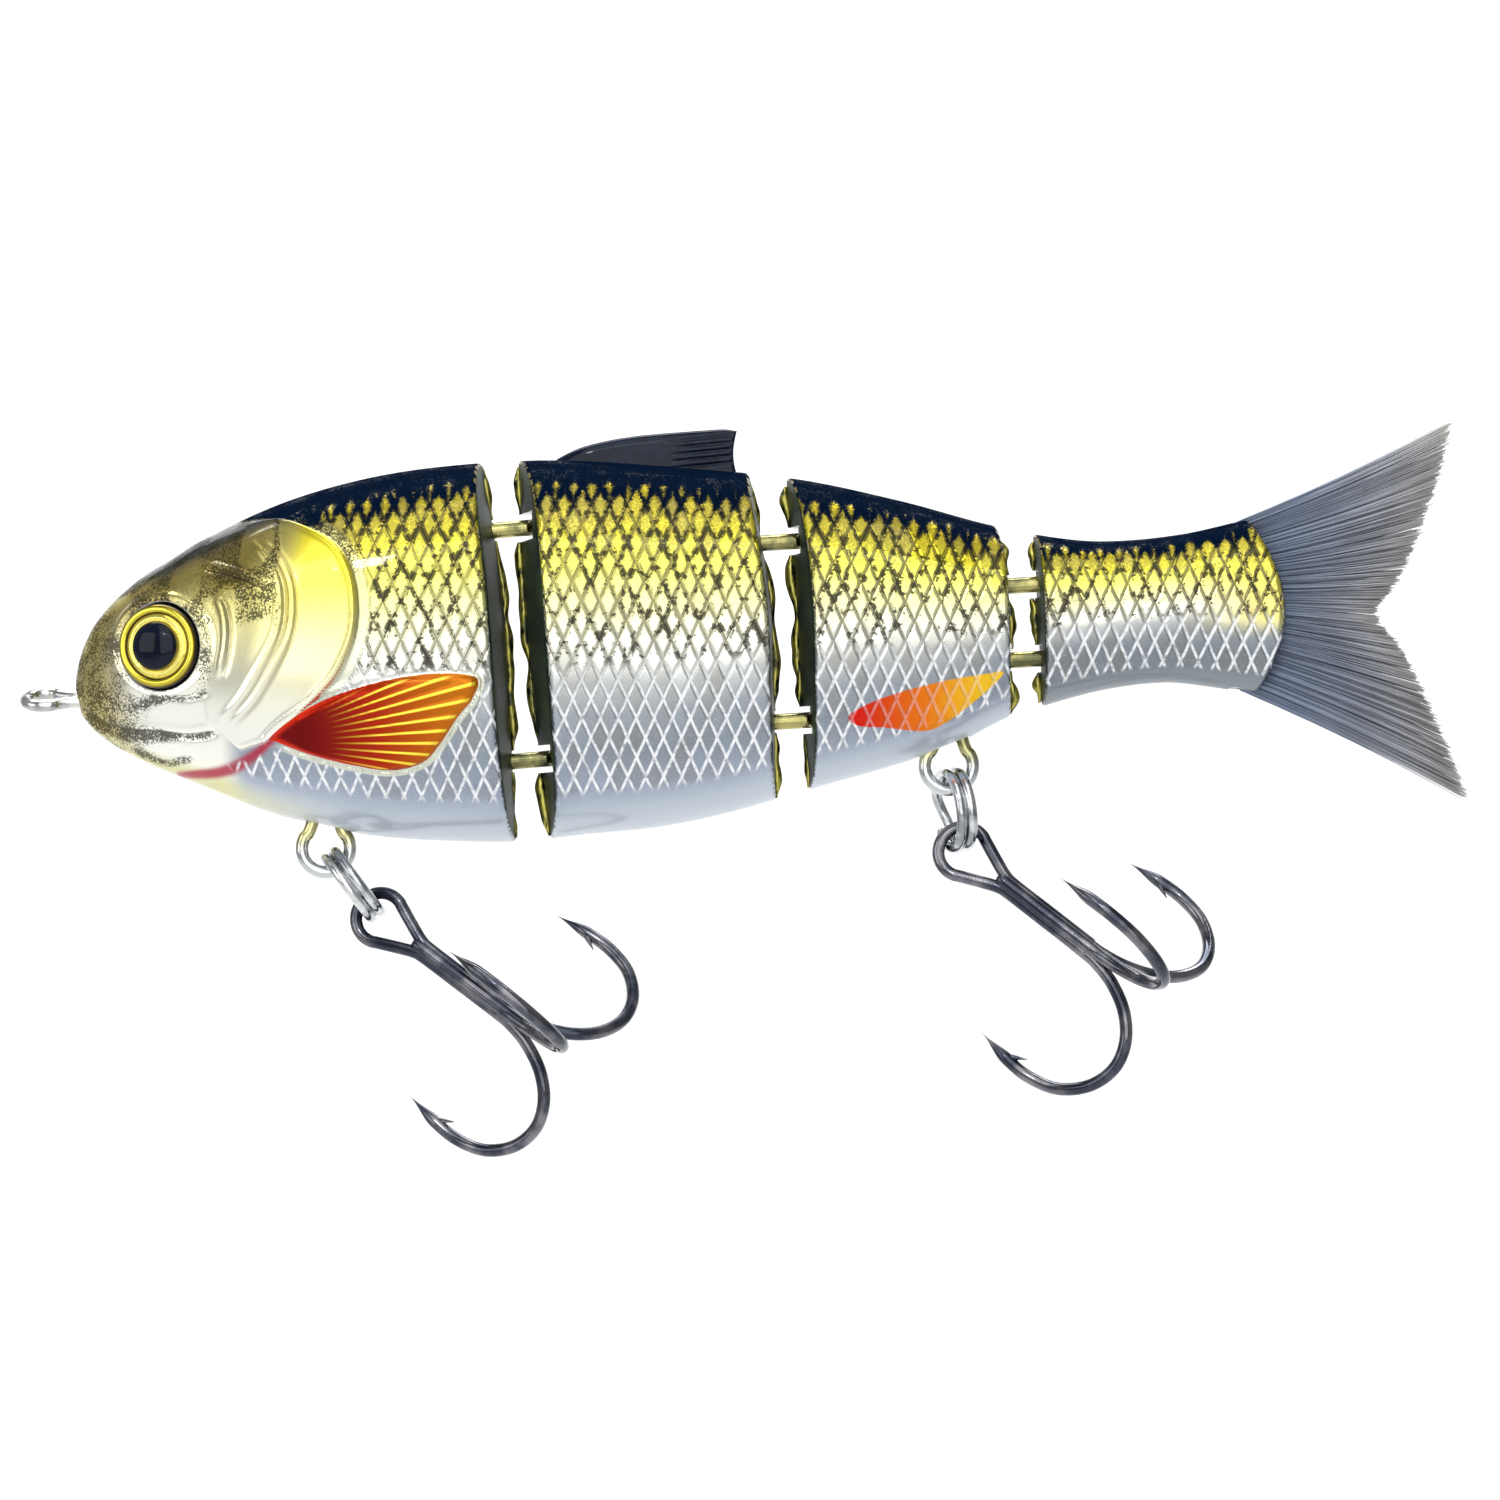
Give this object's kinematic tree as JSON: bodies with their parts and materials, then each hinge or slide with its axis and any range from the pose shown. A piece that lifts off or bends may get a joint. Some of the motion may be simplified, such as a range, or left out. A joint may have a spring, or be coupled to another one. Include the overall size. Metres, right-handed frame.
{
  "type": "swimbait",
  "caption": "Four-section jointed hard swimbait with wire-link hinges, two treble hooks on split rings and a bristle tail fan.",
  "frame": {"origin": "centre of the line tie's loop at the nose", "axes": "+X from the nose to the tail, +Z towards the back, the fish's left side faces -Y"},
  "size_m": [0.1322, 0.028, 0.067],
  "materials": {
    "shell": "chrome and gold paint under clear gloss",
    "wire": "bright stainless wire",
    "ring": "bright stainless wire",
    "hook": "black nickel",
    "eye_foil": "gold foil",
    "eye_resin": "clear dome over a dark pupil",
    "lead": "cast lead",
    "fin": "gloss black",
    "bristle": "crimped filament"
  },
  "bodies": {
    "head": {"head_shell_left": "shell", "head_shell_right": "shell", "front_hinge_link_upper": "wire", "front_hinge_link_lower": "wire", "line_tie": "wire", "front_hook_hanger": "wire", "eye_disc_left": "eye_foil", "eye_dome_left": "eye_resin", "eye_disc_right": "eye_foil", "eye_dome_right": "eye_resin", "head_weight": "lead"},
    "mid_section": {"mid_shell_left": "shell", "mid_shell_right": "shell", "front_hinge_pin": "wire", "middle_hinge_link_upper": "wire", "middle_hinge_link_lower": "wire", "mid_weight": "lead", "dorsal_fin": "fin"},
    "rear_section": {"rear_shell_left": "shell", "rear_shell_right": "shell", "middle_hinge_pin": "wire", "back_hinge_link_upper": "wire", "back_hinge_link_lower": "wire", "rear_hook_hanger": "wire", "rear_weight": "lead"},
    "tail_section": {"tail_shell_left": "shell", "tail_shell_right": "shell", "back_hinge_pin": "wire", "tail_fan": "bristle", "tail_ferrule": "wire", "tail_lock_pin": "wire"},
    "front_ring": {"front_split_ring": "ring"},
    "front_treble": {"front_treble_hook": "hook"},
    "rear_ring": {"rear_split_ring": "ring"},
    "rear_treble": {"rear_treble_hook": "hook"}
  },
  "joints": [
    {"name": "front_hinge", "type": "hinge", "parent": "head", "child": "mid_section", "pos_m": [0.0471, 0, 0.00535], "axis": [-0.0854, 0, 0.9963], "range_deg": [-28, 28]},
    {"name": "middle_hinge", "type": "hinge", "parent": "mid_section", "child": "rear_section", "pos_m": [0.0713, 0, 0.00645], "axis": [-0.061, 0, 0.9981], "range_deg": [-28, 28]},
    {"name": "back_hinge", "type": "hinge", "parent": "rear_section", "child": "tail_section", "pos_m": [0.0932, 0, 0.0073], "axis": [-0.0593, 0, 0.9982], "range_deg": [-32, 32]},
    {"name": "front_ring_swing", "type": "hinge", "parent": "head", "child": "front_ring", "pos_m": [0.0257, 0, -0.0136], "axis": [0, 1, 0], "range_deg": [-8, 67]},
    {"name": "front_treble_swing", "type": "hinge", "parent": "front_ring", "child": "front_treble", "pos_m": [0.03066, -0.00014, -0.01995], "axis": [0.223, 0.9613, -0.162], "range_deg": [-12, 54]},
    {"name": "rear_ring_swing", "type": "hinge", "parent": "rear_section", "child": "rear_ring", "pos_m": [0.0827, 0, -0.00605], "axis": [0, 1, 0], "range_deg": [-30, 37]},
    {"name": "rear_treble_swing", "type": "hinge", "parent": "rear_ring", "child": "rear_treble", "pos_m": [0.08401, -0.00013, -0.01389], "axis": [0.2039, 0.9659, -0.1593], "range_deg": [-12, 60]}
  ]
}
